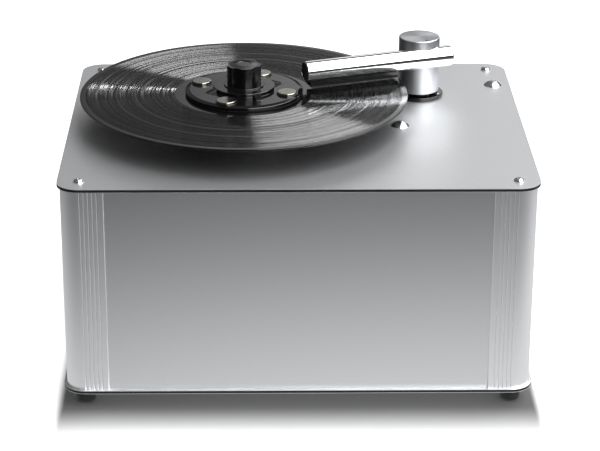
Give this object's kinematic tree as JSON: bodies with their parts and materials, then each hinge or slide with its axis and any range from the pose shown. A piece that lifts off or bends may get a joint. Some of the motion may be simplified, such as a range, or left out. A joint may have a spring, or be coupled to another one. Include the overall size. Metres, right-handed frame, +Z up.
{
  "type": "record cleaning machine",
  "caption": "Aluminium box with a clamped record on a turning platter and a suction arm on a sprung tower, with waste tank, fan and drive inside.",
  "frame": {"origin": "on the floor, under the middle of the deck and base plates", "axes": "+X along the long side to the right, +Y to the rear, +Z up; the front faces -Y"},
  "size_m": [0.415, 0.338, 0.2654],
  "materials": {
    "composite_plate": "satin anodised aluminium skin on a black core",
    "post_aluminium": "satin anodised aluminium extrusion",
    "panel_aluminium": "satin anodised aluminium sheet",
    "screw_steel": "bright plated steel",
    "foot_rubber": "moulded black rubber",
    "motor_steel": "grey enamelled steel",
    "cast_housing": "as cast",
    "bracket_steel": "zinc plated steel",
    "shaft_steel": "ground and polished steel",
    "turned_aluminium": "satin turned aluminium",
    "bearing_bronze": "sintered bronze",
    "mat_rubber": "matt black rubber",
    "record_vinyl": "pressed black vinyl with fine grooves",
    "label_paper": "plain printed paper",
    "clamp_plastic": "satin black acetal",
    "weight_nickel": "satin nickel plate",
    "collet_brass": "turned brass",
    "tube_chrome": "mirror polished stainless steel",
    "black_plastic": "gloss black moulded plastic",
    "felt": "black velvet felt",
    "tank_plastic": "translucent natural plastic",
    "dark_plastic": "dark grey moulded plastic",
    "hose_rubber": "black rubber",
    "board": "green coated laminate with parts on it",
    "loom": "black sleeved wire"
  },
  "bodies": {
    "root": {"deck_plate": "composite_plate", "base_plate": "composite_plate", "post_front_left": "post_aluminium", "post_front_right": "post_aluminium", "post_rear_left": "post_aluminium", "post_rear_right": "post_aluminium", "front_panel": "panel_aluminium", "rear_panel": "panel_aluminium", "left_panel": "panel_aluminium", "right_panel": "panel_aluminium", "corner_screws": "screw_steel", "feet": "foot_rubber", "gear_motor": "motor_steel", "gearbox": "cast_housing", "motor_bracket": "bracket_steel", "bracket_screws": "bracket_steel", "platter_bearing": "bearing_bronze", "swivel_housing": "cast_housing", "tower_collar": "black_plastic", "collar_screws": "screw_steel", "tank_lid": "dark_plastic", "tank_gasket": "mat_rubber", "waste_tank": "tank_plastic", "tank_bolts": "screw_steel", "suction_hose": "hose_rubber", "fan_case": "dark_plastic", "fan_motor": "motor_steel", "drain_port": "dark_plastic", "drain_hose": "hose_rubber", "mains_inlet": "black_plastic", "control_board": "board", "board_spacers": "bracket_steel", "switch_housings": "black_plastic", "wiring": "loom"},
    "platter": {"output_shaft": "shaft_steel", "shaft_coupling": "turned_aluminium", "spindle": "shaft_steel", "platter": "turned_aluminium", "platter_mat": "mat_rubber", "record": "record_vinyl", "record_labels": "label_paper"},
    "clamp": {"clamp_disc": "clamp_plastic", "clamp_seal": "mat_rubber", "clamp_weights": "weight_nickel", "clamp_collet": "collet_brass"},
    "knob": {"clamp_knob": "clamp_plastic"},
    "swivel": {"swivel_sleeve": "bearing_bronze"},
    "arm": {"tower_head": "turned_aluminium", "tower_shaft": "shaft_steel", "arm_tube": "tube_chrome", "arm_plugs": "black_plastic", "nozzle_bar": "black_plastic", "nozzle_felts": "felt", "arm_grub_screw": "bracket_steel", "shaft_clip": "bracket_steel", "lift_spring": "bracket_steel"},
    "fan": {"fan_wheel": "turned_aluminium"},
    "rotation_switch": {"rotation_rocker": "black_plastic"},
    "vacuum_switch": {"vacuum_rocker": "black_plastic"},
    "bung": {"drain_bung": "hose_rubber"}
  },
  "joints": [
    {"name": "platter_spin", "type": "hinge", "parent": "root", "child": "platter", "pos_m": [-0.048, 0.012, 0.2], "axis": [0, 0, 1], "continuous": true},
    {"name": "clamp_lift", "type": "slide", "parent": "platter", "child": "clamp", "axis": [0, 0, 1], "range_m": [0, 0.025]},
    {"name": "clamp_knob_turn", "type": "hinge", "parent": "clamp", "child": "knob", "pos_m": [-0.048, 0.012, 0.2], "axis": [0, 0, 1], "range_deg": [0, 270]},
    {"name": "arm_swing", "type": "hinge", "parent": "root", "child": "swivel", "pos_m": [0.117, 0.0765, 0.2], "axis": [0, 0, 1], "range_deg": [0, 80]},
    {"name": "arm_lift", "type": "slide", "parent": "swivel", "child": "arm", "axis": [0, 0, 1], "range_m": [-0.0018, 0], "stiffness_N_per_m": 1500, "springref_m": 0.006, "deforming": ["lift_spring"]},
    {"name": "fan_spin", "type": "hinge", "parent": "root", "child": "fan", "pos_m": [-0.13, 0.088, 0.09], "axis": [0, 0, 1], "continuous": true},
    {"name": "rotation_switch_rock", "type": "hinge", "parent": "root", "child": "rotation_switch", "pos_m": [0.1974, -0.1, 0.165], "axis": [0, 1, 0], "range_deg": [-10, 10]},
    {"name": "vacuum_switch_rock", "type": "hinge", "parent": "root", "child": "vacuum_switch", "pos_m": [0.1974, -0.068, 0.165], "axis": [0, 1, 0], "range_deg": [0, 20]},
    {"name": "drain_bung_pull", "type": "slide", "parent": "root", "child": "bung", "axis": [0, 1, 0], "range_m": [0, 0.015]}
  ]
}
